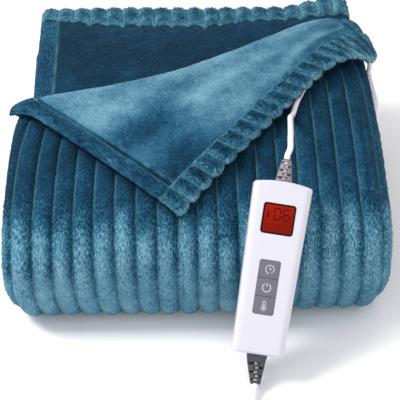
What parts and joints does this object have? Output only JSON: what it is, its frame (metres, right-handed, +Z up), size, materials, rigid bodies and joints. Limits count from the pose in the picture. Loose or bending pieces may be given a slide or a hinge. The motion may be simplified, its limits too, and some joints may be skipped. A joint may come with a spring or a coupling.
{
  "type": "electric heated blanket",
  "caption": "Folded ribbed flannel heated throw with one corner turned down over the top, and a wired hand controller leaning on its front.",
  "frame": {"origin": "on the floor, in the middle of the folded stack's pressed underside", "axes": "+Z up, -Y towards the rounded front fold that the controller leans on, +X to the right of someone facing that fold"},
  "size_m": [0.4027, 0.6294, 0.1818],
  "materials": {
    "cloth": "ribbed plush flannel",
    "shell": "semi-gloss",
    "display": "glossy display",
    "keys": "satin",
    "upper_relief": "matte",
    "lower_relief": "matte",
    "cord": "satin sheath",
    "blades": "plated"
  },
  "bodies": {
    "blanket": {"blanket_cloth": "cloth", "controller_shell": "shell", "display_window": "display", "upper_relief": "upper_relief", "lower_relief": "lower_relief", "controller_lead": "cord", "blanket_connector": "shell", "connector_neck": "shell", "mains_cord": "cord", "mains_coil": "cord", "mains_tail": "cord", "mains_plug": "cord", "plug_blade_left": "blades", "plug_blade_right": "blades"},
    "key_timer": {"key_timer": "keys"},
    "key_power": {"key_power": "keys"},
    "key_heat": {"key_heat": "keys"}
  },
  "joints": [
    {"name": "key_timer_press", "type": "slide", "parent": "blanket", "child": "key_timer", "axis": [0, 0.766, -0.6428], "range_m": [0, 0.0008], "stiffness_N_per_m": 400, "springref_m": -0.001},
    {"name": "key_power_press", "type": "slide", "parent": "blanket", "child": "key_power", "axis": [0, 0.766, -0.6428], "range_m": [0, 0.0008], "stiffness_N_per_m": 400, "springref_m": -0.001},
    {"name": "key_heat_press", "type": "slide", "parent": "blanket", "child": "key_heat", "axis": [0, 0.766, -0.6428], "range_m": [0, 0.0008], "stiffness_N_per_m": 400, "springref_m": -0.001}
  ]
}
